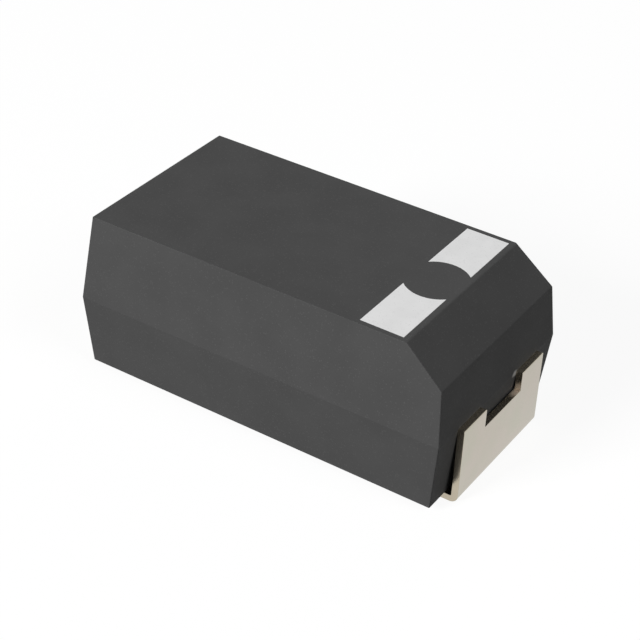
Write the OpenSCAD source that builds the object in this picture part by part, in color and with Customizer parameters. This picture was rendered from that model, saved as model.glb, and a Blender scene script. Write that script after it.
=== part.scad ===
// Moulded tantalum chip capacitor, case size 6032-28: an epoxy case round a sintered
// tantalum element, with two formed lead frame strips that fold under it as feet.
//
// X runs along the part with the anode at +X, Y runs across it and Z points up from the
// board. The origin lies on the board, under the middle of the part. Lengths are in
// millimetres and angles in degrees.

/* [Case] */
// Length of the case along its parting line
case_length = 5.80; // [5.4:0.05:7.0]
// Width of the case along its parting line
case_width = 3.20; // [2.9:0.05:4.0]
// Height of the part, from the board to the top face
part_height = 2.50; // [2.35:0.05:3.2]
// Height of the lower half, from the underside to the parting line
lower_height = 1.10; // [0.9:0.05:1.2]
// Draft of the upper half's walls
upper_draft = 5.5; // [1:0.5:8]
// Draft of the lower half's walls
lower_draft = 5.0; // [1:0.5:8]
// Gap between the glue pad under the case and each foot
pad_clearance = 0.30; // [0.1:0.05:0.6]
// Width of the glue pad
pad_width = 2.40; // [1.6:0.05:2.7]
// Height of the glue pad below the underside
pad_height = 0.05; // [0.02:0.01:0.07]

/* [Polarity marks] */
// Length that the anode bevel takes off the top face
bevel_run = 0.54; // [0.2:0.02:0.8]
// Height that the anode bevel takes off the end wall
bevel_drop = 0.50; // [0.2:0.02:0.8]
// Width of the white stripe, along the case
stripe_width = 0.65; // [0.3:0.05:0.8]
// Bare margin between the stripe and the edges of the top face
stripe_margin = 0.08; // [0.02:0.01:0.3]
// Depth of the stripe's inlay in the top face
stripe_depth = 0.02; // [0.01:0.01:0.05]
// Diameter of the bare round window that parts the stripe
window_diameter = 0.92; // [0.86:0.02:1.6]

/* [Terminals] */
// Thickness of the lead frame strip
strip_thickness = 0.10; // [0.08:0.01:0.15]
// Width of both strips
terminal_width = 2.20; // [1.8:0.05:2.6]
// Length of each foot, measured from the outer face of its plate
foot_length = 1.30; // [0.8:0.05:1.9]
// Inside radius of the bend between plate and foot
heel_radius = 0.02; // [0.01:0.01:0.1]
// Radius on the outside of the coined bend at the top of each plate
shoulder_radius = 0.01; // [0.01:0.01:0.08]
// Width of the notch in the top of each plate
notch_width = 1.00; // [0.4:0.05:1.4]
// Depth of the notch below the top of the plate
notch_depth = 0.29; // [0.15:0.01:0.6]
// Length of the notch inside the case, where the moulding locks the strip
lock_length = 0.35; // [0.1:0.05:0.4]

/* [Strips inside the case] */
// Length of the anode strip inside the case
anode_reach = 0.95; // [0.75:0.05:1.2]
// Distance from the case's end to the step in the cathode strip
step_inset = 0.60; // [0.55:0.05:0.9]
// Inside radius of the two bends of the step
step_radius = 0.08; // [0.03:0.01:0.12]
// Length of the cathode strip's flat tray under the element
tray_length = 1.90; // [1:0.1:2.8]

/* [Element] */
// Length of the sintered pellet
pellet_length = 3.30; // [2.4:0.1:3.6]
// Width of the sintered pellet
pellet_width = 2.20; // [1.8:0.1:2.4]
// Height of the sintered pellet
pellet_height = 1.20; // [0.8:0.05:1.4]
// Radius of the pellet's long edges
pellet_edge_radius = 0.15; // [0.05:0.01:0.3]
// Diameter of the anode wire
wire_diameter = 0.40; // [0.24:0.02:0.5]
// Length of the wire inside the pellet
wire_embed = 1.60; // [0.8:0.1:2.2]
// Distance from the wire's outer end to the case's end
wire_cover = 0.45; // [0.4:0.05:0.6]
// Depth of the flat where the wire is welded to the anode strip
weld_depth = 0.03; // [0.01:0.01:0.08]
// Diameter of the insulating washer
washer_diameter = 0.90; // [0.6:0.05:1.1]
// Thickness of the insulating washer
washer_thickness = 0.15; // [0.08:0.01:0.25]

/* [Coats] */
// Thickness of the manganese dioxide coat
oxide_thickness = 0.05; // [0.03:0.01:0.07]
// Thickness of the carbon coat
carbon_thickness = 0.03; // [0.02:0.01:0.05]
// Thickness of the silver coat
silver_thickness = 0.04; // [0.02:0.01:0.06]
// Length by which each outer coat stops short of the one below at the anode end
coat_setback = 0.15; // [0.05:0.05:0.4]
// Thickness of the silver adhesive between the tray and the element
adhesive_thickness = 0.04; // [0.02:0.01:0.06]
// Thickness of the silver adhesive between the step and the element's end
adhesive_end = 0.06; // [0.03:0.01:0.1]
// Width of the silver adhesive
adhesive_width = 1.70; // [1:0.1:1.8]
// Length of bare tray beyond the silver adhesive
adhesive_inset = 0.10; // [0.02:0.02:0.4]

/* [Hidden] */
$fn = 64;

// Heights above the board. The case rests on the folded feet.
underside_z = strip_thickness;
parting_z = underside_z + lower_height;
top_z = part_height;
upper_height = top_z - parting_z;

// The case, as half sizes at the parting line, the underside and the top face
half_length = case_length / 2;
half_width = case_width / 2;
lower_taper = lower_height * tan(lower_draft);
upper_taper = upper_height * tan(upper_draft);
top_half_length = half_length - upper_taper;
top_half_width = half_width - upper_taper;
bevel_taper = (upper_height - bevel_drop) * tan(upper_draft);

// The stripe ends one margin short of the bevel and of both long edges
stripe_end_x = top_half_length - bevel_run - stripe_margin;
stripe_mid_x = stripe_end_x - stripe_width / 2;
stripe_length = 2 * (top_half_width - stripe_margin);

// The plates stand against the case's ends
plate_x = half_length + strip_thickness;
heel_outer = heel_radius + strip_thickness;
pad_length = 2 * (plate_x - foot_length - pad_clearance);

// The wire lies on the anode strip, and the element is centred on the wire
wire_z = parting_z + wire_diameter / 2 - weld_depth;
anode_tab_x = half_length - anode_reach;
wire_end_x = half_length - wire_cover;

// The cathode strip steps down to a tray under the element
coat_stack = oxide_thickness + carbon_thickness + silver_thickness;
tray_z = wire_z - pellet_height / 2 - coat_stack - adhesive_thickness;
step_x = half_length - step_inset;
step_outer = step_radius + strip_thickness;
tray_end_x = step_x - step_radius - tray_length;

// Depth by which a cutting shape runs into the piece beside it, so that no film is left
bite = strip_thickness / 5;

// The pellet starts behind the step, the adhesive and the coats
element_x = step_x - adhesive_end;
pellet_start_x = coat_stack - element_x;
pellet_end_x = pellet_start_x + pellet_length;

// ---- Shared shapes ----

// A flat rectangle between two opposite corners
module box_between(low, high) {
    translate(low) square(high - low);
}

// The first quadrant of a disc
module quarter_disc(radius) {
    intersection() {
        circle(r = radius);
        square(radius);
    }
}

// The first quadrant of a ring, as a strip bent through a right angle
module quarter_ring(inner, outer) {
    intersection() {
        difference() {
            circle(r = outer);
            circle(r = inner);
        }
        square(outer);
    }
}

// A profile drawn in X and Z, extruded evenly to both sides of the centre plane
module across(width) {
    rotate([90, 0, 0]) linear_extrude(width, center = true) children();
}

// A round bar along the wire's line, from one X to another
module on_wire_line(from_x, to_x, diameter) {
    translate([from_x, 0, wire_z]) rotate([0, 90, 0]) cylinder(d = diameter, h = to_x - from_x);
}

// ---- Case ----

// Lengthwise outline, with both drafts and the anode bevel
module side_outline() {
    polygon([
        [lower_taper - half_length, underside_z],
        [half_length - lower_taper, underside_z],
        [half_length, parting_z],
        [half_length - bevel_taper, top_z - bevel_drop],
        [top_half_length - bevel_run, top_z],
        [-top_half_length, top_z],
        [-half_length, parting_z]
    ]);
}

// Outline seen from either end
module end_outline() {
    polygon([
        [lower_taper - half_width, underside_z],
        [half_width - lower_taper, underside_z],
        [half_width, parting_z],
        [top_half_width, top_z],
        [-top_half_width, top_z],
        [-half_width, parting_z]
    ]);
}

// The moulding as a solid block, with the glue pad under it
module case_block() {
    intersection() {
        across(case_width) side_outline();
        rotate([90, 0, 90]) linear_extrude(case_length, center = true) end_outline();
    }
    translate([-pad_length / 2, -pad_width / 2, underside_z - pad_height])
        cube([pad_length, pad_width, 2 * pad_height]);
}

// Everything that the resin is moulded round, each shape run into its neighbours
module moulded_in() {
    anode_strip();
    cathode_strip();
    adhesive_block();
    wire_line_bar();
    washer_line_bar();
    silver_block();
    carbon_block();
    oxide_block();
}

module moulded_case() {
    color([0.27, 0.27, 0.27])
        difference() {
            case_block();
            moulded_in();
            stripe_fields(2 * stripe_depth);
        }
}

// The stripe's two fields, from the floor of their inlay upward
module stripe_fields(height) {
    translate([stripe_mid_x, 0, top_z - stripe_depth])
        linear_extrude(height)
            difference() {
                square([stripe_width, stripe_length], center = true);
                circle(d = window_diameter);
            }
}

module polarity_stripe() {
    color([0.87, 0.87, 0.87]) stripe_fields(stripe_depth);
}

// ---- Terminals ----

// Lengthwise profile of a strip outside the case: the level run through the end wall from
// inner_x, the shoulder, the plate, the heel and the foot
module terminal_profile(inner_x) {
    box_between([inner_x, parting_z - strip_thickness], [plate_x - shoulder_radius, parting_z]);
    translate([plate_x - shoulder_radius, parting_z - shoulder_radius])
        quarter_disc(shoulder_radius);
    box_between([plate_x - strip_thickness, heel_outer], [plate_x, parting_z - shoulder_radius]);
    translate([plate_x - heel_outer, heel_outer])
        mirror([0, 1]) quarter_ring(heel_radius, heel_outer);
    box_between([plate_x - foot_length, 0], [plate_x - heel_outer, strip_thickness]);
}

// The notch through the plate, carried on as a slot inside the case
module notch_cut() {
    translate([half_length - lock_length, -notch_width / 2, parting_z - notch_depth])
        cube([lock_length + 2 * strip_thickness, notch_width, 2 * notch_depth]);
}

module anode_strip() {
    difference() {
        across(terminal_width) terminal_profile(anode_tab_x);
        notch_cut();
    }
}

// Profile of the cathode strip's step and tray, drawn at the +X end like the terminal
module step_profile() {
    translate([step_x + step_outer, parting_z - step_outer])
        mirror([1, 0]) quarter_ring(step_radius, step_outer);
    box_between([step_x, tray_z + step_radius],
                [step_x + strip_thickness, parting_z - step_outer]);
    translate([step_x - step_radius, tray_z + step_radius])
        mirror([0, 1]) quarter_ring(step_radius, step_outer);
    box_between([tray_end_x, tray_z - strip_thickness], [step_x - step_radius, tray_z]);
}

module cathode_strip() {
    mirror([1, 0, 0])
        difference() {
            across(terminal_width) {
                terminal_profile(step_x + step_outer);
                step_profile();
            }
            notch_cut();
        }
}

module anode_terminal() {
    color([0.74, 0.71, 0.67]) anode_strip();
}

module cathode_terminal() {
    color([0.74, 0.71, 0.67]) cathode_strip();
}

// ---- Element ----

// A bar round the wire's line with rounded long edges, grown on all sides by a coat
module element_bar(coat, from_x, to_x) {
    radius = pellet_edge_radius + coat;
    core_width = pellet_width / 2 - pellet_edge_radius;
    core_height = pellet_height / 2 - pellet_edge_radius;
    translate([from_x, 0, wire_z])
        rotate([90, 0, 90])
            linear_extrude(to_x - from_x) {
                square([2 * core_width, 2 * (core_height + radius)], center = true);
                square([2 * (core_width + radius), 2 * core_height], center = true);
                for (side = [0, 1], level = [0, 1])
                    mirror([side, 0])
                        mirror([0, level])
                            translate([core_width, core_height]) quarter_disc(radius);
            }
}

module wire_line_bar() {
    on_wire_line(pellet_end_x - wire_embed, wire_end_x, wire_diameter);
}

// The wire with its weld flat, which lies on the anode strip
module wire_bar() {
    difference() {
        wire_line_bar();
        translate([anode_tab_x, -wire_diameter / 2, parting_z - wire_diameter])
            cube([2 * anode_reach, wire_diameter, wire_diameter]);
    }
}

module anode_wire() {
    color([0.56, 0.57, 0.60]) wire_bar();
}

// The washer's full bar, from inside the pellet to the washer's outer face
module washer_line_bar() {
    on_wire_line(pellet_end_x - bite, pellet_end_x + washer_thickness, washer_diameter);
}

module insulating_washer() {
    color([0.93, 0.92, 0.88])
        difference() {
            on_wire_line(pellet_end_x, pellet_end_x + washer_thickness, washer_diameter);
            wire_line_bar();
        }
}

module pellet_block() {
    element_bar(0, pellet_start_x, pellet_end_x);
}

module tantalum_pellet() {
    color([0.38, 0.38, 0.40])
        difference() {
            pellet_block();
            wire_line_bar();
        }
}

module oxide_block() {
    element_bar(oxide_thickness, pellet_start_x - oxide_thickness, pellet_end_x + oxide_thickness);
}

module manganese_dioxide_coat() {
    color([0.16, 0.15, 0.16])
        difference() {
            oxide_block();
            pellet_block();
            washer_line_bar();
        }
}

module carbon_block() {
    coat = oxide_thickness + carbon_thickness;
    element_bar(coat, pellet_start_x - coat, pellet_end_x - coat_setback);
}

module carbon_coat() {
    color([0.10, 0.10, 0.11])
        difference() {
            carbon_block();
            oxide_block();
        }
}

module silver_block() {
    element_bar(coat_stack, pellet_start_x - coat_stack, pellet_end_x - 2 * coat_setback);
}

module silver_coat() {
    color([0.78, 0.78, 0.76])
        difference() {
            silver_block();
            carbon_block();
        }
}

// The adhesive's outer form, run into the tray, the step and the element, and drawn at the
// +X end like the cathode strip
module adhesive_block() {
    mirror([1, 0, 0])
        across(adhesive_width) {
            box_between([tray_end_x + adhesive_inset, tray_z - bite],
                        [step_x - step_radius, tray_z + adhesive_thickness + bite]);
            translate([step_x - step_radius, tray_z + step_radius])
                mirror([0, 1]) quarter_disc(step_radius + bite);
            box_between([element_x - bite, tray_z + step_radius],
                        [step_x + bite, parting_z - step_outer]);
        }
}

module silver_adhesive() {
    color([0.70, 0.70, 0.68])
        difference() {
            adhesive_block();
            cathode_strip();
            silver_block();
        }
}

moulded_case();
polarity_stripe();
anode_terminal();
cathode_terminal();
anode_wire();
insulating_washer();
tantalum_pellet();
manganese_dioxide_coat();
carbon_coat();
silver_coat();
silver_adhesive();
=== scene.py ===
"""The looks of a moulded tantalum chip capacitor, dressed round its fixed CAD frame.

The CAD nodes keep their shapes and places. Each one gets a finish made of shader nodes, and the
outer ones also get the small radii that a mould and a stamping tool leave on their edges. X runs
along the part with the anode at +X, Y runs across it and Z points up from the board. Lengths are
in metres, and sizes are written as a number of millimetres or microns.
"""

import logging
import math
from abc import ABC, abstractmethod
from dataclasses import dataclass, replace
from enum import Enum
from typing import ClassVar

import bpy
from mathutils import Matrix, Vector


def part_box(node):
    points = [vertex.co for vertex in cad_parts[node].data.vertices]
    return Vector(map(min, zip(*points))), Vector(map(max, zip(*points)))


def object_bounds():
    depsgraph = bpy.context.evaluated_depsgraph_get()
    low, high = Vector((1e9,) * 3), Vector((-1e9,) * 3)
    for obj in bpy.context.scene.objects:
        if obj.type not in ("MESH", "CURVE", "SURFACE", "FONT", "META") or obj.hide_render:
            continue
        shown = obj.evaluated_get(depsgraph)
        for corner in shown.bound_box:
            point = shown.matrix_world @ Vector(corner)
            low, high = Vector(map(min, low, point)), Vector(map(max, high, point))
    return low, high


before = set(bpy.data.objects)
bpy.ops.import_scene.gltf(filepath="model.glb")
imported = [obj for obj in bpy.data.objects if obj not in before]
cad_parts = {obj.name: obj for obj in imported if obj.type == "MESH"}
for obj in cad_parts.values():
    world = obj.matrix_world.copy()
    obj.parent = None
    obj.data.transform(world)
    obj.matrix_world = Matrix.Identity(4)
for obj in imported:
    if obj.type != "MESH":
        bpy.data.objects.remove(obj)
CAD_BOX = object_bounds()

log = logging.getLogger("tantalum_capacitor")

MM = 1e-3
MICRON = 1e-6

Triple = tuple[float, float, float]
Box = tuple[Triple, Triple]
Feed = bpy.types.NodeSocket | float | bool | str | Triple

EMPTY_BOX: Box = ((0.0, 0.0, 0.0), (0.0, 0.0, 0.0))


class Slot(Enum):
    """The record's material slots."""

    EPOXY_MOULDING = "epoxy_moulding"
    STRIPE_INK = "stripe_ink"
    TIN_PLATED_STRIP = "tin_plated_strip"
    TANTALUM_WIRE = "tantalum_wire"
    WASHER_RESIN = "washer_resin"
    SINTERED_TANTALUM = "sintered_tantalum"
    MANGANESE_DIOXIDE = "manganese_dioxide"
    GRAPHITE = "graphite"
    SILVER_PAINT = "silver_paint"
    SILVER_EPOXY = "silver_epoxy"


class SocketKind(Enum):
    """The kinds of value that pass in and out of a node group."""

    NUMBER = "NodeSocketFloat"
    VECTOR = "NodeSocketVector"
    COLOUR = "NodeSocketColor"
    GEOMETRY = "NodeSocketGeometry"


@dataclass(frozen=True)
class Port:
    """A named socket of a node group.

    Args:
        name: The socket's name.
        kind: The kind of value that passes through it.
    """

    name: str
    kind: SocketKind


MESH = Port("Mesh", SocketKind.GEOMETRY)


# ---------- Wiring of node trees ----------


@dataclass(frozen=True)
class Wiring:
    """A node tree while it is being wired: it adds nodes and feeds their sockets.

    Args:
        tree: The node tree.
    """

    tree: bpy.types.NodeTree

    # Places of the colour sockets on a Mix node, which share their names with other sockets.
    MIX_A: ClassVar[int] = 6
    MIX_B: ClassVar[int] = 7
    MIX_COLOUR: ClassVar[int] = 2

    @classmethod
    def of(cls, owner: bpy.types.Material | bpy.types.World) -> "Wiring":
        """Starts the wiring of a new material or world.

        Args:
            owner: The material or the world.

        Returns:
            The wiring of its node tree, which is empty.
        """
        owner.use_nodes = True
        owner.node_tree.nodes.clear()
        return cls(owner.node_tree)

    def add(
        self, kind: str, feeds: dict[str | int, Feed] | None = None, **settings: object
    ) -> bpy.types.Node:
        """Adds a node and feeds its inputs.

        Args:
            kind: Blender's own name of the node's type.
            feeds: What each input takes, by its name or place: a socket is linked, a value is set.
            settings: The node's properties.

        Returns:
            The new node.
        """
        node = self.tree.nodes.new(kind)
        for name, value in settings.items():
            setattr(node, name, value)
        self.feed(node, feeds or {})
        return node

    def feed(self, node: bpy.types.Node, feeds: dict[str | int, Feed]) -> None:
        """Links or sets some inputs of a node.

        Args:
            node: The node whose inputs are fed.
            feeds: What each input takes, by its name or place.
        """
        for key, value in feeds.items():
            socket = node.inputs[key]
            if isinstance(value, bpy.types.NodeSocket):
                self.tree.links.new(value, socket)
            elif socket.type == "RGBA":
                socket.default_value = (*value, 1.0)
            else:
                socket.default_value = value

    def calculate(self, operation: str, first: Feed, second: Feed = 0.0) -> bpy.types.NodeSocket:
        """Adds a Math node.

        Args:
            operation: The node's operation.
            first: The first number.
            second: The second number.

        Returns:
            The result's socket.
        """
        return self.add("ShaderNodeMath", {0: first, 1: second}, operation=operation).outputs[0]

    def vector(self, operation: str, first: Feed, second: Feed) -> bpy.types.NodeSocket:
        """Adds a Vector Math node.

        Args:
            operation: The node's operation.
            first: The first vector.
            second: The second vector.

        Returns:
            The result's socket.
        """
        return self.add("ShaderNodeVectorMath", {0: first, 1: second}, operation=operation).outputs[0]

    def length(self, vector: Feed) -> bpy.types.NodeSocket:
        """Returns the socket of a vector's length."""
        return self.add("ShaderNodeVectorMath", {0: vector}, operation="LENGTH").outputs["Value"]

    def remap(
        self, value: Feed, source: tuple[Feed, Feed], target: tuple[Feed, Feed]
    ) -> bpy.types.NodeSocket:
        """Adds a clamped Map Range node.

        Args:
            value: The number to map.
            source: The range that the number comes from.
            target: The range that it is mapped to.

        Returns:
            The result's socket.
        """
        feeds = {
            "Value": value,
            "From Min": source[0],
            "From Max": source[1],
            "To Min": target[0],
            "To Max": target[1],
        }
        return self.add("ShaderNodeMapRange", feeds, clamp=True).outputs["Result"]

    def blend(self, share: Feed, first: Feed, second: Feed) -> bpy.types.NodeSocket:
        """Adds a colour Mix node.

        Args:
            share: How much of the second colour shows.
            first: The first colour.
            second: The second colour.

        Returns:
            The mixed colour's socket.
        """
        feeds = {"Factor": share, self.MIX_A: first, self.MIX_B: second}
        return self.add("ShaderNodeMix", feeds, data_type="RGBA").outputs[self.MIX_COLOUR]

    def place_on_part(self, cell: Feed) -> bpy.types.NodeSocket:
        """Counts places on the part in cells of a given size.

        Args:
            cell: The cell's size along X, Y and Z.

        Returns:
            The socket of the place.
        """
        place = self.add("ShaderNodeTexCoord").outputs["Object"]
        return self.vector("DIVIDE", place, cell)

    def noise(self, cell: Feed, detail: float, roughness: float) -> bpy.types.NodeSocket:
        """Adds a cloudy noise.

        Args:
            cell: The size of a cloud along X, Y and Z.
            detail: How many finer layers of noise lie on the first.
            roughness: How strong the finer layers are.

        Returns:
            The socket of the noise, about 0.5 on average.
        """
        feeds = {"Vector": self.place_on_part(cell), "Scale": 1.0, "Detail": detail, "Roughness": roughness}
        return self.add("ShaderNodeTexNoise", feeds).outputs["Fac"]

    def cells(self, cell: Feed) -> bpy.types.NodeOutputs:
        """Adds scattered points, each in a cell of its own.

        Args:
            cell: The cell's size along X, Y and Z.

        Returns:
            The outputs: the distance to the cell's point, and a chance colour for each cell.
        """
        feeds = {"Vector": self.place_on_part(cell), "Scale": 1.0}
        return self.add("ShaderNodeTexVoronoi", feeds).outputs


class NodeGroup(ABC):
    """A node group that is built once and placed wherever it is needed."""

    tree_kind: ClassVar[str]
    title: ClassVar[str]
    takes: ClassVar[tuple[Port, ...]]
    gives: ClassVar[tuple[Port, ...]]

    @classmethod
    def group(cls) -> bpy.types.NodeTree:
        """Finds the node group, and builds it on the first call.

        Returns:
            The node group.
        """
        known = bpy.data.node_groups.get(cls.title)
        if known:
            return known
        tree = bpy.data.node_groups.new(cls.title, cls.tree_kind)
        for ports, side in ((cls.takes, "INPUT"), (cls.gives, "OUTPUT")):
            for port in ports:
                tree.interface.new_socket(port.name, in_out=side, socket_type=port.kind.value)
        wiring = Wiring(tree)
        taken = wiring.add("NodeGroupInput").outputs
        wiring.add("NodeGroupOutput", cls.wire(wiring, taken))
        return tree

    @classmethod
    @abstractmethod
    def wire(cls, wiring: Wiring, taken: bpy.types.NodeOutputs) -> dict[str, Feed]:
        """Wires the inside of the group.

        Args:
            wiring: The group's node tree.
            taken: The sockets of what the group takes.

        Returns:
            What feeds each of the group's outputs.
        """


# ---------- Effects that several finishes share ----------


class Effect(NodeGroup):
    """A surface effect, as a shader node group that many materials share."""

    tree_kind = "ShaderNodeTree"

    @classmethod
    def placed(cls, wiring: Wiring, feeds: dict[str, Feed]) -> bpy.types.NodeOutputs:
        """Places the effect in a material.

        Args:
            wiring: The material's node tree.
            feeds: What each of the group's inputs takes.

        Returns:
            The group's outputs.
        """
        node = wiring.add("ShaderNodeGroup", node_tree=cls.group())
        wiring.feed(node, feeds)
        return node.outputs


class Grain(Effect):
    """Fine uneven grain, even in all directions or drawn out along some."""

    title = "Grain"
    takes = (
        Port("Cell", SocketKind.VECTOR),
        Port("Smoothest", SocketKind.NUMBER),
        Port("Roughest", SocketKind.NUMBER),
    )
    gives = (Port("Height", SocketKind.NUMBER), Port("Roughness", SocketKind.NUMBER))

    # The heights at which the roughness reaches its two ends.
    HEIGHTS: ClassVar[tuple[float, float]] = (0.3, 0.7)

    @classmethod
    def wire(cls, wiring: Wiring, taken: bpy.types.NodeOutputs) -> dict[str, Feed]:
        """Wires a noise that sets both the height and the roughness.

        Args:
            wiring: The group's node tree.
            taken: The sockets of what the group takes.

        Returns:
            What feeds each of the group's outputs.
        """
        height = wiring.noise(taken["Cell"], detail=3.0, roughness=0.6)
        roughness = wiring.remap(height, cls.HEIGHTS, (taken["Smoothest"], taken["Roughest"]))
        return {"Height": height, "Roughness": roughness}


class Mottle(Effect):
    """Soft patches of a second colour."""

    title = "Mottle"
    takes = (
        Port("Colour", SocketKind.COLOUR),
        Port("Patch Colour", SocketKind.COLOUR),
        Port("Cell", SocketKind.VECTOR),
    )
    gives = (Port("Colour", SocketKind.COLOUR),)

    # The noise at which a patch starts, and at which it has its full colour.
    PATCH_RIM: ClassVar[tuple[float, float]] = (0.35, 0.65)

    @classmethod
    def wire(cls, wiring: Wiring, taken: bpy.types.NodeOutputs) -> dict[str, Feed]:
        """Wires a slow noise that chooses between the colours.

        Args:
            wiring: The group's node tree.
            taken: The sockets of what the group takes.

        Returns:
            What feeds each of the group's outputs.
        """
        noise = wiring.noise(taken["Cell"], detail=2.0, roughness=0.5)
        share = wiring.remap(noise, cls.PATCH_RIM, (0.0, 1.0))
        return {"Colour": wiring.blend(share, taken["Colour"], taken["Patch Colour"])}


class Specks(Effect):
    """Scattered round specks of another colour, such as filler grains or metal flakes."""

    title = "Specks"
    takes = (
        Port("Colour", SocketKind.COLOUR),
        Port("Speck Colour", SocketKind.COLOUR),
        Port("Cell", SocketKind.VECTOR),
        Port("Share", SocketKind.NUMBER),
    )
    gives = (Port("Colour", SocketKind.COLOUR), Port("Mask", SocketKind.NUMBER))

    # Where a speck starts to fade and where it ends, from the middle of its cell.
    SPECK_RIM: ClassVar[tuple[float, float]] = (0.30, 0.45)

    @classmethod
    def wire(cls, wiring: Wiring, taken: bpy.types.NodeOutputs) -> dict[str, Feed]:
        """Wires cells of which a share, drawn by their own chance number, holds a speck.

        Args:
            wiring: The group's node tree.
            taken: The sockets of what the group takes.

        Returns:
            What feeds each of the group's outputs.
        """
        cells = wiring.cells(taken["Cell"])
        chance = wiring.add("ShaderNodeSeparateColor", {"Color": cells["Color"]}).outputs["Red"]
        chosen = wiring.calculate("LESS_THAN", chance, taken["Share"])
        disc = wiring.remap(cells["Distance"], cls.SPECK_RIM, (1.0, 0.0))
        mask = wiring.calculate("MULTIPLY", chosen, disc)
        return {"Colour": wiring.blend(mask, taken["Colour"], taken["Speck Colour"]), "Mask": mask}


class Granules(Effect):
    """A mass of small rounded grains with crevices between them, which are painted dark as shade."""

    title = "Granules"
    takes = (
        Port("Colour", SocketKind.COLOUR),
        Port("Crevice Shade Colour", SocketKind.COLOUR),
        Port("Cell", SocketKind.VECTOR),
    )
    gives = (Port("Colour", SocketKind.COLOUR), Port("Height", SocketKind.NUMBER))

    # The middle of a granule and the bottom of a crevice, from the middle of the cell.
    GRANULE_SLOPE: ClassVar[tuple[float, float]] = (0.0, 0.8)

    @classmethod
    def wire(cls, wiring: Wiring, taken: bpy.types.NodeOutputs) -> dict[str, Feed]:
        """Wires cells that are high and pale in the middle, and low at their rims with painted shade.

        Args:
            wiring: The group's node tree.
            taken: The sockets of what the group takes.

        Returns:
            What feeds each of the group's outputs.
        """
        distance = wiring.cells(taken["Cell"])["Distance"]
        height = wiring.remap(distance, cls.GRANULE_SLOPE, (1.0, 0.0))
        return {"Colour": wiring.blend(height, taken["Crevice Shade Colour"], taken["Colour"]), "Height": height}


class SoftSpot(Effect):
    """One soft-edged spot at a place on the part, such as a painted highlight or a painted reflection."""

    title = "Soft spot"
    takes = (Port("Centre", SocketKind.VECTOR), Port("Radii", SocketKind.VECTOR))
    gives = (Port("Mask", SocketKind.NUMBER),)

    # Where the spot starts to fade and where it ends, in radii.
    SPOT_RIM: ClassVar[tuple[float, float]] = (0.5, 1.2)

    @classmethod
    def wire(cls, wiring: Wiring, taken: bpy.types.NodeOutputs) -> dict[str, Feed]:
        """Wires the distance from the centre, counted in radii, and fades the rim.

        Args:
            wiring: The group's node tree.
            taken: The sockets of what the group takes.

        Returns:
            What feeds each of the group's outputs.
        """
        centre = wiring.vector("DIVIDE", taken["Centre"], taken["Radii"])
        distance = wiring.length(wiring.vector("SUBTRACT", wiring.place_on_part(taken["Radii"]), centre))
        return {"Mask": wiring.remap(distance, cls.SPOT_RIM, (1.0, 0.0))}


class StampedFaces(Effect):
    """The faces of a strip that a stamp cut, which face along Y, and those that face up."""

    title = "Stamped faces"
    takes = (Port("Least Tilt", SocketKind.NUMBER),)
    gives = (Port("Mask", SocketKind.NUMBER),)

    @classmethod
    def wire(cls, wiring: Wiring, taken: bpy.types.NodeOutputs) -> dict[str, Feed]:
        """Wires the larger of the sideways and the upward part of the surface normal.

        Args:
            wiring: The group's node tree.
            taken: The sockets of what the group takes.

        Returns:
            What feeds each of the group's outputs.
        """
        normal = wiring.add("ShaderNodeNewGeometry").outputs["Normal"]
        parts = wiring.add("ShaderNodeSeparateXYZ", {0: normal}).outputs
        tilt = wiring.calculate("MAXIMUM", wiring.calculate("ABSOLUTE", parts["Y"]), parts["Z"])
        return {"Mask": wiring.remap(tilt, (taken["Least Tilt"], 1.0), (0.0, 1.0))}


# ---------- Edges ----------


class MeshStep(NodeGroup):
    """A step on a piece's way to its shown mesh, as a geometry node group."""

    tree_kind = "GeometryNodeTree"
    gives = (MESH,)

    @classmethod
    def apply_to(cls, piece: bpy.types.Object, values: dict[str, float | Vector]) -> None:
        """Adds the step to a piece's modifiers.

        Args:
            piece: The piece that takes the step.
            values: The value of each of the group's inputs apart from the mesh.
        """
        step = piece.modifiers.new(cls.title, "NODES")
        step.node_group = cls.group()
        for item in step.node_group.interface.items_tree:
            if item.name in values:
                step[item.identifier] = values[item.name]


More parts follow.
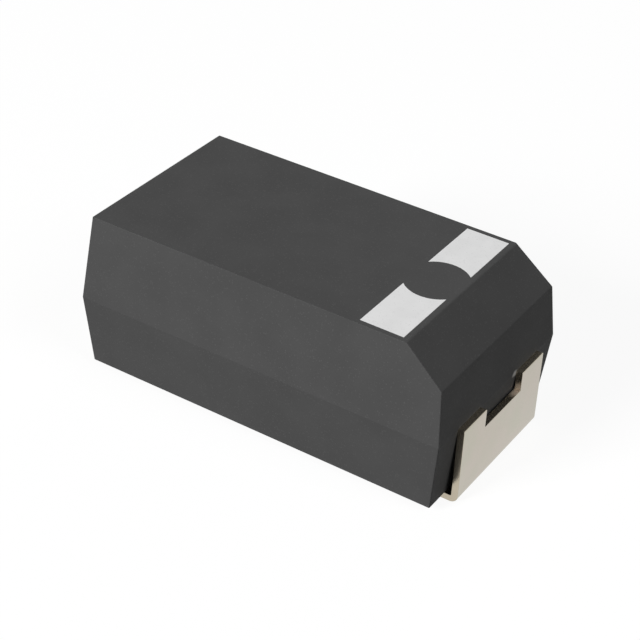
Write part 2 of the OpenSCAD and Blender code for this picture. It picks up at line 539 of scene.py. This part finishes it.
class MarkOuterEdges(MeshStep):
    """Marks the sharp convex edges that lie outside two boxes, as the ones to round."""

    title = "Mark outer edges"
    takes = (
        MESH,
        Port("Least Angle", SocketKind.NUMBER),
        Port("Core Low", SocketKind.VECTOR),
        Port("Core High", SocketKind.VECTOR),
        Port("Mouth Low", SocketKind.VECTOR),
        Port("Mouth High", SocketKind.VECTOR),
    )

    MARK: ClassVar[str] = "bevel_weight_edge"

    @staticmethod
    def outside(wiring: Wiring, low: Feed, high: Feed) -> bpy.types.NodeSocket:
        """Tests whether an edge's middle lies outside a box.

        Args:
            wiring: The group's node tree.
            low: The box's lowest corner.
            high: The box's highest corner.

        Returns:
            The socket of the answer, 1 outside and 0 inside.
        """
        place = wiring.add("GeometryNodeInputPosition").outputs[0]
        margins = wiring.vector(
            "MINIMUM", wiring.vector("SUBTRACT", place, low), wiring.vector("SUBTRACT", high, place)
        )
        parts = wiring.add("ShaderNodeSeparateXYZ", {0: margins}).outputs
        least = wiring.calculate("MINIMUM", parts["X"], wiring.calculate("MINIMUM", parts["Y"], parts["Z"]))
        return wiring.calculate("LESS_THAN", least, 0.0)

    @classmethod
    def wire(cls, wiring: Wiring, taken: bpy.types.NodeOutputs) -> dict[str, Feed]:
        """Wires the test of each edge's angle and place.

        Args:
            wiring: The group's node tree.
            taken: The sockets of what the group takes.

        Returns:
            What feeds each of the group's outputs.
        """
        bend = wiring.add("GeometryNodeInputMeshEdgeAngle").outputs["Signed Angle"]
        sharp = wiring.calculate("GREATER_THAN", bend, taken["Least Angle"])
        clear_of_core = cls.outside(wiring, taken["Core Low"], taken["Core High"])
        clear_of_mouth = cls.outside(wiring, taken["Mouth Low"], taken["Mouth High"])
        clear_of_both = wiring.calculate("MULTIPLY", clear_of_core, clear_of_mouth)
        mark = wiring.calculate("MULTIPLY", sharp, clear_of_both)
        store = wiring.add(
            "GeometryNodeStoreNamedAttribute",
            {"Geometry": taken["Mesh"], "Name": cls.MARK, "Value": mark},
            data_type="FLOAT",
            domain="EDGE",
        )
        return {"Mesh": store.outputs["Geometry"]}


class SmoothByAngle(MeshStep):
    """Shades a mesh smooth, apart from the sharp edges that are not to be rounded."""

    title = "Smooth by angle"
    takes = (MESH, Port("Least Angle", SocketKind.NUMBER))

    # A mark is 0 or 1, so this tells the two apart.
    HALF_MARKED: ClassVar[float] = 0.5

    @classmethod
    def wire(cls, wiring: Wiring, taken: bpy.types.NodeOutputs) -> dict[str, Feed]:
        """Wires the test of each edge's angle and mark, which replaces the frame's own normals.

        Args:
            wiring: The group's node tree.
            taken: The sockets of what the group takes.

        Returns:
            What feeds each of the group's outputs.
        """
        bend = wiring.add("GeometryNodeInputMeshEdgeAngle").outputs["Unsigned Angle"]
        sharp = wiring.calculate("GREATER_THAN", bend, taken["Least Angle"])
        mark = wiring.add("GeometryNodeInputNamedAttribute", {"Name": MarkOuterEdges.MARK}, data_type="FLOAT")
        unmarked = wiring.calculate("LESS_THAN", mark.outputs["Attribute"], cls.HALF_MARKED)
        shaded = wiring.add(
            "GeometryNodeSetMeshNormal",
            {
                "Mesh": taken["Mesh"],
                "Remove Custom": True,
                "Edge Sharpness": wiring.calculate("MULTIPLY", sharp, unmarked),
                "Face Sharpness": False,
            },
            mode="SHARPNESS",
        )
        return {"Mesh": shaded.outputs["Mesh"]}


@dataclass(frozen=True)
class RoundedEdges:
    """The small radius that a mould or a stamping tool leaves on a piece's outer edges.

    Args:
        radius: The radius.
        segments: The number of facets round the radius.
        least_angle: The smallest bend that counts as an edge, in degrees.
        core: The box that holds the edges which stay sharp, as its lowest and highest corners.
        mouth: A second such box.
        weld_distance: The distance under which the frame's split corners are one.
        flat_angle: The bend under which faces are one flat face, in degrees.
        smooth_angle: The bend under which shading runs on over an edge, in degrees.
    """

    radius: float
    segments: int = 3
    least_angle: float = 30.0
    core: Box = EMPTY_BOX
    mouth: Box = EMPTY_BOX
    weld_distance: float = 0.01 * MICRON
    flat_angle: float = 0.2
    smooth_angle: float = 36.0

    def apply_to(self, piece: bpy.types.Object) -> None:
        """Adds the modifiers that round a piece's edges.

        Args:
            piece: The piece to round.
        """
        weld = piece.modifiers.new("Weld corners", "WELD")
        weld.merge_threshold = self.weld_distance
        flatten = piece.modifiers.new("Join flat faces", "DECIMATE")
        flatten.decimate_type = "DISSOLVE"
        flatten.angle_limit = math.radians(self.flat_angle)
        boxes = {
            "Core Low": Vector(self.core[0]),
            "Core High": Vector(self.core[1]),
            "Mouth Low": Vector(self.mouth[0]),
            "Mouth High": Vector(self.mouth[1]),
        }
        MarkOuterEdges.apply_to(piece, {"Least Angle": math.radians(self.least_angle), **boxes})
        SmoothByAngle.apply_to(piece, {"Least Angle": math.radians(self.smooth_angle)})
        rounding = piece.modifiers.new("Round edges", "BEVEL")
        rounding.limit_method = "WEIGHT"
        rounding.width = self.radius
        rounding.segments = self.segments
        rounding.use_clamp_overlap = False
        rounding.harden_normals = True
        log.info("%s has edges of %.0f microns", piece.name, self.radius / MICRON)


# ---------- Finishes ----------


def even(size: float) -> Triple:
    """Returns a cell of one size in all directions."""
    return (size, size, size)


@dataclass(frozen=True)
class Surface:
    """What a finish's effects feed its shader.

    Args:
        colour: The base colour.
        roughness: The roughness.
        height: The height of the relief, from 0 to 1.
        depth: The depth of the relief.
    """

    colour: Feed
    roughness: Feed
    height: Feed
    depth: float


@dataclass(frozen=True)
class Finish(ABC):
    """A procedural material for one of the record's slots.

    Args:
        slot: The record's material slot.
        colour: The main colour.
        metallic: 1 for bare metal and 0 for anything else.
        specular_level: The strength of the surface reflection, where 0.5 is plain glossy plastic.
        smoothest: The roughness at the smoothest places.
        roughest: The roughness at the roughest places.
    """

    slot: Slot
    colour: Triple
    metallic: float = 0.0
    specular_level: float = 0.5
    smoothest: float = 0.5
    roughest: float = 0.7

    @abstractmethod
    def wire(self, wiring: Wiring) -> Surface:
        """Wires the finish's effects.

        Args:
            wiring: The material's node tree.

        Returns:
            What feeds the shader.
        """

    def material(self) -> bpy.types.Material:
        """Finds the finish's material, and builds it on the first call.

        Returns:
            The material.
        """
        known = bpy.data.materials.get(self.title)
        if known:
            return known
        material = bpy.data.materials.new(self.title)
        wiring = Wiring.of(material)
        surface = self.wire(wiring)
        relief = {"Height": surface.height, "Distance": surface.depth, "Strength": 1.0}
        bump = wiring.add("ShaderNodeBump", relief)
        shader = wiring.add(
            "ShaderNodeBsdfPrincipled",
            {
                "Base Color": surface.colour,
                "Metallic": self.metallic,
                "Roughness": surface.roughness,
                "Specular IOR Level": self.specular_level,
                "Normal": bump.outputs["Normal"],
            },
        )
        wiring.add("ShaderNodeOutputMaterial", {"Surface": shader.outputs["BSDF"]})
        return material

    @property
    def title(self) -> str:
        """The material's name."""
        return f"{self.slot.value}_finish"

    def sheen(self, wiring: Wiring, cell: Triple) -> bpy.types.NodeOutputs:
        """Places the grain that makes the roughness uneven.

        Args:
            wiring: The material's node tree.
            cell: The size of the grain along X, Y and Z.

        Returns:
            The grain's height and roughness.
        """
        return Grain.placed(wiring, {"Cell": cell, "Smoothest": self.smoothest, "Roughest": self.roughest})

    def put_on(self, piece: bpy.types.Object) -> None:
        """Puts the finish on every face of a piece.

        Args:
            piece: The object to dress.
        """
        piece.data.materials.clear()
        piece.data.materials.append(self.material())
        log.info("%s wears %s", piece.name, self.title)


@dataclass(frozen=True)
class PatchyFinish(Finish):
    """A finish whose colour drifts in soft patches.

    Args:
        patch_colour: The colour of the soft patches.
        patch_size: The size of the soft patches.
    """

    patch_colour: Triple = (0.0, 0.0, 0.0)
    patch_size: float = 0.6 * MM

    def patches(self, wiring: Wiring) -> bpy.types.NodeSocket:
        """Places the soft patches.

        Args:
            wiring: The material's node tree.

        Returns:
            The socket of the drifting colour.
        """
        feeds = {"Colour": self.colour, "Patch Colour": self.patch_colour, "Cell": even(self.patch_size)}
        return Mottle.placed(wiring, feeds)["Colour"]


@dataclass(frozen=True)
class MouldedResin(PatchyFinish):
    """Filled resin as it comes from a spark-eroded mould.

    Args:
        filler_colour: The colour of the filler grains that show.
        filler_size: The spacing of the filler grains.
        filler_share: The share of the grains that show.
        grain_size: The size of the mould's grain.
        grain_depth: The depth of the mould's grain.
    """

    filler_colour: Triple = (0.0, 0.0, 0.0)
    filler_size: float = 24 * MICRON
    filler_share: float = 0.15
    grain_size: float = 30 * MICRON
    grain_depth: float = 1.5 * MICRON

    def wire(self, wiring: Wiring) -> Surface:
        """Wires patches, filler grains and the mould's grain.

        Args:
            wiring: The material's node tree.

        Returns:
            What feeds the shader.
        """
        specks = Specks.placed(
            wiring,
            {
                "Colour": self.patches(wiring),
                "Speck Colour": self.filler_colour,
                "Cell": even(self.filler_size),
                "Share": self.filler_share,
            },
        )
        grain = self.sheen(wiring, even(self.grain_size))
        return Surface(specks["Colour"], grain["Roughness"], grain["Height"], self.grain_depth)


@dataclass(frozen=True)
class RolledMetal(PatchyFinish):
    """Metal that was rolled or drawn, with faint lines along its length.

    Args:
        line_cell: The size of a line along X, Y and Z.
        line_depth: The depth of the lines.
    """

    patch_size: float = 0.4 * MM
    line_cell: Triple = (0.3 * MM, 12 * MICRON, 0.3 * MM)
    line_depth: float = 0.2 * MICRON
    smoothest: float = 0.15
    roughest: float = 0.3

    def wire(self, wiring: Wiring) -> Surface:
        """Wires patches and the drawn lines.

        Args:
            wiring: The material's node tree.

        Returns:
            What feeds the shader.
        """
        colour = self.patches(wiring)
        lines = self.sheen(wiring, self.line_cell)
        return Surface(colour, lines["Roughness"], lines["Height"], self.line_depth)


@dataclass(frozen=True)
class ResinWithPaintedGlint(MouldedResin):
    """Moulded resin with one small painted highlight, a pale spot painted into its colour.

    Args:
        painted_glint_colour: The colour of the painted highlight.
        painted_glint_centre: The painted highlight's place on the part.
        painted_glint_radii: The painted highlight's half-sizes along X, Y and Z.
    """

    painted_glint_colour: Triple = (0.4, 0.4, 0.4)
    painted_glint_centre: Triple = (0.0, 0.0, 0.0)
    painted_glint_radii: Triple = (1.0, 1.0, 1.0)

    def wire(self, wiring: Wiring) -> Surface:
        """Wires the resin first and then the painted highlight.

        Args:
            wiring: The material's node tree.

        Returns:
            What feeds the shader.
        """
        resin = super().wire(wiring)
        # Painted highlight: a pale soft spot painted into the resin's colour by the notch.
        painted_glint = SoftSpot.placed(wiring, {"Centre": self.painted_glint_centre, "Radii": self.painted_glint_radii})["Mask"]
        return replace(resin, colour=wiring.blend(painted_glint, resin.colour, self.painted_glint_colour))


@dataclass(frozen=True)
class PlatedStrip(RolledMetal):
    """Plated strip with bare, duller stamped faces and a painted reflection, a pale brown patch, in a notch's
    corner.

    Args:
        least_tilt: How far a face's normal leans sideways or upwards before it counts as stamped.
        bare_colour: The colour of the stamped faces.
        bare_roughness: The roughness of the stamped faces.
        painted_reflection_colour: The colour of the painted reflection.
        painted_reflection_roughness: The roughness of the painted reflection.
        painted_reflection_centre: The place of the painted reflection.
        painted_reflection_radii: The half-sizes of the painted reflection along X, Y and Z.
    """

    least_tilt: float = 0.8
    bare_colour: Triple = (0.0, 0.0, 0.0)
    bare_roughness: float = 0.2
    painted_reflection_colour: Triple = (0.0, 0.0, 0.0)
    painted_reflection_roughness: float = 0.5
    painted_reflection_centre: Triple = (0.0, 0.0, 0.0)
    painted_reflection_radii: Triple = (1.0, 1.0, 1.0)

    def wire(self, wiring: Wiring) -> Surface:
        """Wires the plating first, then the stamped faces and the painted reflection on them.

        Args:
            wiring: The material's node tree.

        Returns:
            What feeds the shader.
        """
        plating = super().wire(wiring)
        stamped = StampedFaces.placed(wiring, {"Least Tilt": self.least_tilt})["Mask"]
        # Painted reflection: a pale brown patch on the stamped faces in the notch's corner.
        spot = SoftSpot.placed(wiring, {"Centre": self.painted_reflection_centre, "Radii": self.painted_reflection_radii})["Mask"]
        painted_reflection = wiring.calculate("MULTIPLY", stamped, spot)
        bare = wiring.blend(stamped, plating.colour, self.bare_colour)
        bare_roughness = wiring.remap(stamped, (0.0, 1.0), (plating.roughness, self.bare_roughness))
        return replace(
            plating,
            colour=wiring.blend(painted_reflection, bare, self.painted_reflection_colour),
            roughness=wiring.remap(painted_reflection, (0.0, 1.0), (bare_roughness, self.painted_reflection_roughness)),
        )


@dataclass(frozen=True)
class GranularMass(Finish):
    """A sintered, crystalline or powdery mass.

    Args:
        crevice_shade_colour: The painted shade between the granules.
        granule_size: The size of the granules.
        granule_depth: The depth of the crevices.
    """

    # The size of a patch of sheen, in granules.
    SHEEN_SIZE: ClassVar[int] = 3

    crevice_shade_colour: Triple = (0.0, 0.0, 0.0)
    granule_size: float = 20 * MICRON
    granule_depth: float = 4 * MICRON
    smoothest: float = 0.6
    roughest: float = 0.9

    def wire(self, wiring: Wiring) -> Surface:
        """Wires granules and an uneven sheen over them.

        Args:
            wiring: The material's node tree.

        Returns:
            What feeds the shader.
        """
        # The crevices between granules get painted shade.
        granules = Granules.placed(
            wiring,
            {"Colour": self.colour, "Crevice Shade Colour": self.crevice_shade_colour, "Cell": even(self.granule_size)},
        )
        sheen = self.sheen(wiring, even(self.SHEEN_SIZE * self.granule_size))
        return Surface(granules["Colour"], sheen["Roughness"], granules["Height"], self.granule_depth)


@dataclass(frozen=True)
class FlakePaste(Finish):
    """Paint or paste full of metal flakes.

    Args:
        flake_colour: The colour of the flakes that lie flat.
        flake_size: The spacing of the flakes.
        flake_share: The share of the flakes that lie flat.
        paste_depth: The depth of the paste's unevenness.
    """

    # The size of a lump of paste, in flakes.
    LUMP_SIZE: ClassVar[int] = 4

    flake_colour: Triple = (0.8, 0.8, 0.78)
    flake_size: float = 18 * MICRON
    flake_share: float = 0.4
    paste_depth: float = 2 * MICRON
    smoothest: float = 0.3
    roughest: float = 0.55

    def wire(self, wiring: Wiring) -> Surface:
        """Wires flakes and the uneven surface of the paste.

        Args:
            wiring: The material's node tree.

        Returns:
            What feeds the shader.
        """
        flakes = Specks.placed(
            wiring,
            {
                "Colour": self.colour,
                "Speck Colour": self.flake_colour,
                "Cell": even(self.flake_size),
                "Share": self.flake_share,
            },
        )
        paste = self.sheen(wiring, even(self.LUMP_SIZE * self.flake_size))
        return Surface(flakes["Colour"], paste["Roughness"], paste["Height"], self.paste_depth)


# ---------- The capacitor ----------


def cad_node(name: str) -> bpy.types.Object:
    """Returns the object of a CAD node."""
    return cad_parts[name]


class SubAssembly(ABC):
    """A group of CAD nodes that are finished together."""

    @abstractmethod
    def finishes(self) -> dict[str, Finish]:
        """Returns each node's finish, by the node's name."""

    def roundings(self) -> dict[str, RoundedEdges]:
        """Returns the rounding of each node whose edges show, by the node's name."""
        return {}

    def round_edges(self) -> None:
        """Rounds the edges of the nodes that have a rounding."""
        for name, edges in self.roundings().items():
            edges.apply_to(cad_node(name))

    def dress(self) -> None:
        """Puts each finish on its node."""
        for name, finish in self.finishes().items():
            finish.put_on(cad_node(name))


@dataclass(frozen=True)
class Moulding(SubAssembly):
    """The epoxy case and the white stripe that marks the anode end.

    Args:
        edge_radius: The radius on the case's outer edges.
        rim: The depth from the case's sides within which its outer edges lie.
        inlay_margin: The margin past the stripe within which edges stay sharp.
        mouth_margin: The margin round the strips' way out of the case.
        mouth_depth: The depth of that way out, from the strips' upper face.
        parting_angle: A bend just under that of the parting line, in degrees, which keeps it crisp.
        case_finish: The case's finish.
        stripe_finish: The stripe's finish.
    """

    # Puts a side of a box well outside the case.
    BEYOND: ClassVar[float] = 2.0

    edge_radius: float = 16 * MICRON
    rim: float = 0.16 * MM
    inlay_margin: float = 0.045 * MM
    mouth_margin: float = 0.05 * MM
    mouth_depth: float = 0.35 * MM
    parting_angle: float = 8.0
    case_finish: Finish = ResinWithPaintedGlint(
        slot=Slot.EPOXY_MOULDING,
        colour=(0.072, 0.072, 0.072),
        patch_colour=(0.067, 0.067, 0.067),
        filler_colour=(0.085, 0.085, 0.085),
        specular_level=0.018,
        # A painted highlight: a pale spot on the case by the notch, at the parting line.
        painted_glint_colour=(0.38, 0.38, 0.375),
        painted_glint_centre=(2.90 * MM, 0.456 * MM, 1.180 * MM),
        painted_glint_radii=(0.06 * MM, 0.068 * MM, 0.052 * MM),
    )
    stripe_finish: Finish = MouldedResin(
        slot=Slot.STRIPE_INK,
        colour=(0.78, 0.78, 0.78),
        patch_colour=(0.75, 0.75, 0.75),
        patch_size=0.25 * MM,
        filler_colour=(0.7, 0.7, 0.7),
        grain_depth=0.8 * MICRON,
        specular_level=0.1,
    )

    def roundings(self) -> dict[str, RoundedEdges]:
        """Rounds the case's outer edges, and leaves the inlay's and the mouths' rims sharp.

        Returns:
            The case's rounding.
        """
        low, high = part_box("moulded_case")
        stripe_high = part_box("polarity_stripe")[1]
        strip_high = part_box("anode_terminal")[1]
        mouth_half_width = strip_high.y + self.mouth_margin
        core = (
            (low.x + self.rim, low.y + self.rim, low.z),
            (stripe_high.x + self.inlay_margin, high.y - self.rim, self.BEYOND * high.z),
        )
        mouth = (
            (self.BEYOND * low.x, -mouth_half_width, strip_high.z - self.mouth_depth),
            (self.BEYOND * high.x, mouth_half_width, strip_high.z + self.mouth_margin),
        )
        edges = RoundedEdges(self.edge_radius, core=core, mouth=mouth, smooth_angle=self.parting_angle)
        return {"moulded_case": edges}

    def finishes(self) -> dict[str, Finish]:
        """Returns the finishes of the case and the stripe."""
        return {"moulded_case": self.case_finish, "polarity_stripe": self.stripe_finish}


@dataclass(frozen=True)
class LeadFrame(SubAssembly):
    """The two plated strips that fold under the case as feet.

    Args:
        strips: The names of the strips.
        edges: The radius on their stamped edges.
        strip_finish: Their plating.
    """

    strips: tuple[str, ...] = ("anode_terminal", "cathode_terminal")
    edges: RoundedEdges = RoundedEdges(radius=5 * MICRON, segments=2, least_angle=60.0)
    strip_finish: Finish = PlatedStrip(
        slot=Slot.TIN_PLATED_STRIP,
        colour=(0.462, 0.415, 0.350),
        patch_colour=(0.437, 0.412, 0.334),
        metallic=1.0,
        line_depth=0.05 * MICRON,
        smoothest=0.06,
        roughest=0.12,
        bare_colour=(0.50, 0.445, 0.350),
        bare_roughness=0.19,
        # A painted reflection: a pale brown patch on the stamped faces in the notch's corner.
        painted_reflection_colour=(0.68, 0.59, 0.49),
        painted_reflection_roughness=0.5,
        painted_reflection_centre=(2.95 * MM, 0.46 * MM, 0.92 * MM),
        painted_reflection_radii=(0.08 * MM, 0.17 * MM, 0.13 * MM),
    )

    def roundings(self) -> dict[str, RoundedEdges]:
        """Returns the rounding of both strips."""
        return dict.fromkeys(self.strips, self.edges)

    def finishes(self) -> dict[str, Finish]:
        """Returns the plating of both strips."""
        return dict.fromkeys(self.strips, self.strip_finish)


@dataclass(frozen=True)
class Element(SubAssembly):
    """The wire, the sintered pellet, its coats and the adhesive, all sealed in the case.

    Args:
        wire_finish: The drawn wire's finish.
        washer_finish: The washer's finish.
        pellet_finish: The sintered pellet's finish.
        oxide_finish: The finish of the manganese dioxide coat.
        graphite_finish: The finish of the carbon coat.
        paint_finish: The finish of the silver coat.
        adhesive_finish: The silver adhesive's finish.
    """

    wire_finish: Finish = RolledMetal(
        slot=Slot.TANTALUM_WIRE,
        colour=(0.29, 0.30, 0.33),
        patch_colour=(0.26, 0.27, 0.30),
        line_cell=(0.4 * MM, 10 * MICRON, 10 * MICRON),
        metallic=1.0,
    )
    washer_finish: Finish = MouldedResin(
        slot=Slot.WASHER_RESIN,
        colour=(0.85, 0.83, 0.78),
        patch_colour=(0.82, 0.79, 0.72),
        filler_colour=(0.88, 0.87, 0.84),
        smoothest=0.35,
        roughest=0.5,
    )
    # The pellet and the coats are painted darker between their granules, as shade.
    pellet_finish: Finish = GranularMass(
        slot=Slot.SINTERED_TANTALUM,
        colour=(0.14, 0.14, 0.16),
        crevice_shade_colour=(0.04, 0.04, 0.05),
        metallic=1.0,
    )
    oxide_finish: Finish = GranularMass(
        slot=Slot.MANGANESE_DIOXIDE,
        colour=(0.026, 0.024, 0.026),
        crevice_shade_colour=(0.010, 0.009, 0.010),
        granule_size=12 * MICRON,
    )
    graphite_finish: Finish = GranularMass(
        slot=Slot.GRAPHITE,
        colour=(0.016, 0.016, 0.017),
        crevice_shade_colour=(0.008, 0.008, 0.008),
        granule_size=8 * MICRON,
        granule_depth=1 * MICRON,
        smoothest=0.4,
        roughest=0.6,
    )
    paint_finish: Finish = FlakePaste(
        slot=Slot.SILVER_PAINT,
        colour=(0.57, 0.57, 0.54),
        metallic=1.0,
    )
    adhesive_finish: Finish = FlakePaste(
        slot=Slot.SILVER_EPOXY,
        colour=(0.45, 0.45, 0.42),
        flake_colour=(0.6, 0.6, 0.57),
        metallic=1.0,
        paste_depth=5 * MICRON,
    )

    def finishes(self) -> dict[str, Finish]:
        """Lists the finishes, from the wire outwards.

        Returns:
            Each piece's finish, by its name.
        """
        return {
            "anode_wire": self.wire_finish,
            "insulating_washer": self.washer_finish,
            "tantalum_pellet": self.pellet_finish,
            "manganese_dioxide_coat": self.oxide_finish,
            "carbon_coat": self.graphite_finish,
            "silver_coat": self.paint_finish,
            "silver_adhesive": self.adhesive_finish,
        }


# ---------- The studio ----------


def direction(azimuth: float, elevation: float) -> Vector:
    """Finds the direction from the part towards a place round it.

    Args:
        azimuth: The turn from -Y towards +X, in degrees.
        elevation: The height above the horizon, in degrees.

    Returns:
        The direction, with a length of 1.
    """
    turn, lift = math.radians(azimuth), math.radians(elevation)
    return Vector((math.sin(turn) * math.cos(lift), -math.cos(turn) * math.cos(lift), math.sin(lift)))


@dataclass(frozen=True)
class SoftLamp:
    """A square soft lamp that faces the part.

    Args:
        name: The lamp's name.
        azimuth: The lamp's turn round the part, in degrees.
        elevation: The lamp's height above the horizon, in degrees.
        distance: The distance from the part.
        side: The lamp's side.
        level: How bright a white card that faces the lamp looks, where 1 is white.
    """

    name: str
    azimuth: float
    elevation: float
    distance: float
    side: float
    level: float

    def build(self, target: Vector) -> None:
        """Makes the lamp.

        Args:
            target: The point that the lamp faces.
        """
        lamp = bpy.data.lights.new(self.name, "AREA")
        lamp.shape = "SQUARE"
        lamp.size = self.side
        lamp.energy = self.level * (math.pi * self.distance) ** 2
        holder = bpy.data.objects.new(self.name, lamp)
        away = direction(self.azimuth, self.elevation)
        holder.location = target + away * self.distance
        holder.rotation_mode = "QUATERNION"
        holder.rotation_quaternion = (-away).to_track_quat("-Z", "Y")
        bpy.context.scene.collection.objects.link(holder)
        log.info("%s at %.0f degrees, level %.2f", self.name, self.azimuth, self.level)


@dataclass(frozen=True)
class Studio:
    """The pale floor, the soft lamps and the pale surround.

    Args:
        key: The main lamp.
        fill: The weaker lamp that lights the ends.
        back: The weakest lamp, which lights the side that faces away.
        floor_side: The floor's side.
        floor_colour: The floor's own colour.
        floor_roughness: The floor's roughness.
        floor_glow: The light that the floor adds for the camera and for reflections.
        surround_level: The surround's brightness for the camera and for reflections.
        ambient_level: The surround's brightness as a light on the part.
    """

    key: SoftLamp = SoftLamp("key_lamp", azimuth=-20.5, elevation=27.2, distance=0.16, side=0.05, level=1.23)
    fill: SoftLamp = SoftLamp("fill_lamp", azimuth=84.8, elevation=44.5, distance=0.16, side=0.08, level=0.42)
    back: SoftLamp = SoftLamp("back_lamp", azimuth=184.0, elevation=6.0, distance=0.16, side=0.03, level=0.35)
    floor_side: float = 1.2
    floor_colour: Triple = (0.10, 0.10, 0.10)
    floor_roughness: float = 0.9
    floor_glow: float = 0.91
    surround_level: float = 1.0
    ambient_level: float = 0.04

    @staticmethod
    def seen_or_mirrored(wiring: Wiring) -> bpy.types.NodeSocket:
        """Finds the rays that look at a surface, and leaves out those that light the part.

        Args:
            wiring: The material's or the world's node tree.

        Returns:
            A socket that is 1 for camera, glossy and transmission rays and 0 for others.
        """
        rays = wiring.add("ShaderNodeLightPath").outputs
        direct = wiring.calculate("MAXIMUM", rays["Is Camera Ray"], rays["Is Glossy Ray"])
        return wiring.calculate("MAXIMUM", direct, rays["Is Transmission Ray"])

    def floor_material(self) -> bpy.types.Material:
        """Makes the floor's material, which lets a camera under the floor see the part.

        Returns:
            The material.
        """
        material = bpy.data.materials.new("pale_floor")
        wiring = Wiring.of(material)
        glow = wiring.calculate("MULTIPLY", self.seen_or_mirrored(wiring), self.floor_glow)
        paint = wiring.add(
            "ShaderNodeBsdfPrincipled",
            {
                "Base Color": self.floor_colour,
                "Roughness": self.floor_roughness,
                "Specular IOR Level": 0.0,
                "Emission Color": (1.0, 1.0, 1.0),
                "Emission Strength": glow,
            },
        )
        clear = wiring.add("ShaderNodeBsdfTransparent")
        under = wiring.add("ShaderNodeNewGeometry").outputs["Backfacing"]
        either = wiring.add("ShaderNodeMixShader", {0: under, 1: paint.outputs[0], 2: clear.outputs[0]})
        wiring.add("ShaderNodeOutputMaterial", {"Surface": either.outputs[0]})
        return material

    def build_floor(self) -> None:
        """Makes the floor, level with the feet."""
        half = self.floor_side / 2
        level = CAD_BOX[0].z
        corners = [(-half, -half, level), (half, -half, level), (half, half, level), (-half, half, level)]
        mesh = bpy.data.meshes.new("floor")
        mesh.from_pydata(corners, [], [(0, 1, 2, 3)])
        mesh.materials.append(self.floor_material())
        floor = bpy.data.objects.new("floor", mesh)
        bpy.context.scene.collection.objects.link(floor)

    def build_surround(self) -> None:
        """Makes the world, which is white to look at and weak as a light."""
        world = bpy.data.worlds.new("pale_surround")
        wiring = Wiring.of(world)
        looked_at = self.seen_or_mirrored(wiring)
        strength = wiring.remap(looked_at, (0.0, 1.0), (self.ambient_level, self.surround_level))
        surround = wiring.add("ShaderNodeBackground", {"Color": (1.0, 1.0, 1.0), "Strength": strength})
        wiring.add("ShaderNodeOutputWorld", {"Surface": surround.outputs[0]})
        bpy.context.scene.world = world

    def build(self) -> None:
        """Makes the floor, the surround and the lamps, and sets the plain view transform."""
        self.build_floor()
        self.build_surround()
        centre = (CAD_BOX[0] + CAD_BOX[1]) / 2
        for lamp in (self.key, self.fill, self.back):
            lamp.build(centre)
        bpy.context.scene.view_settings.view_transform = "Standard"


@dataclass(frozen=True)
class ViewCamera:
    """The camera, which looks down on the anode end from its left.

    Args:
        azimuth: The camera's turn round the part, in degrees.
        elevation: The camera's height above the horizon, in degrees.
        roll: The camera's turn about its own axis, in degrees.
        distance: The distance from the part's centre, along the view.
        slide_right: The camera's shift to its right, from the line to the centre.
        slide_up: The camera's shift upwards.
        focal_length_mm: The lens's focal length.
        sensor_mm: The sensor's side.
        nearest: The nearest place that the camera sees, as a share of its distance.
        farthest: The farthest place that it sees, in the same way.
    """

    azimuth: float = 31.534
    elevation: float = 34.224
    roll: float = 3.001
    distance: float = 24.762 * MM
    slide_right: float = 0.0439 * MM
    slide_up: float = -0.1093 * MM
    focal_length_mm: float = 99.58
    sensor_mm: float = 36.0
    nearest: float = 0.05
    farthest: float = 200.0

    def build(self) -> None:
        """Makes the camera and hands it to the scene."""
        lens = bpy.data.cameras.new("view_camera")
        lens.lens = self.focal_length_mm
        lens.sensor_width = self.sensor_mm
        lens.clip_start = self.nearest * self.distance
        lens.clip_end = self.farthest * self.distance
        camera = bpy.data.objects.new("view_camera", lens)
        back = direction(self.azimuth, self.elevation)
        level_right = Vector((0.0, 0.0, 1.0)).cross(back).normalized()
        right = Matrix.Rotation(math.radians(self.roll), 3, back) @ level_right
        up = back.cross(right)
        centre = (CAD_BOX[0] + CAD_BOX[1]) / 2
        place = centre + right * self.slide_right + up * self.slide_up + back * self.distance
        turn = Matrix((right, up, back)).transposed().to_4x4()
        camera.matrix_world = Matrix.Translation(place) @ turn
        bpy.context.scene.collection.objects.link(camera)
        bpy.context.scene.camera = camera
        log.info("%s at %.1f degrees, %.1f up", camera.name, self.azimuth, self.elevation)


# ---------- Making ----------


def main() -> None:
    """Makes the camera and the studio, then dresses the capacitor from the outside in."""
    logging.basicConfig(level=logging.INFO, format="%(name)s: %(message)s")
    ViewCamera().build()
    Studio().build()
    for part in (Moulding(), LeadFrame(), Element()):
        part.round_edges()
        part.dress()


if __name__ == "__main__":
    main()
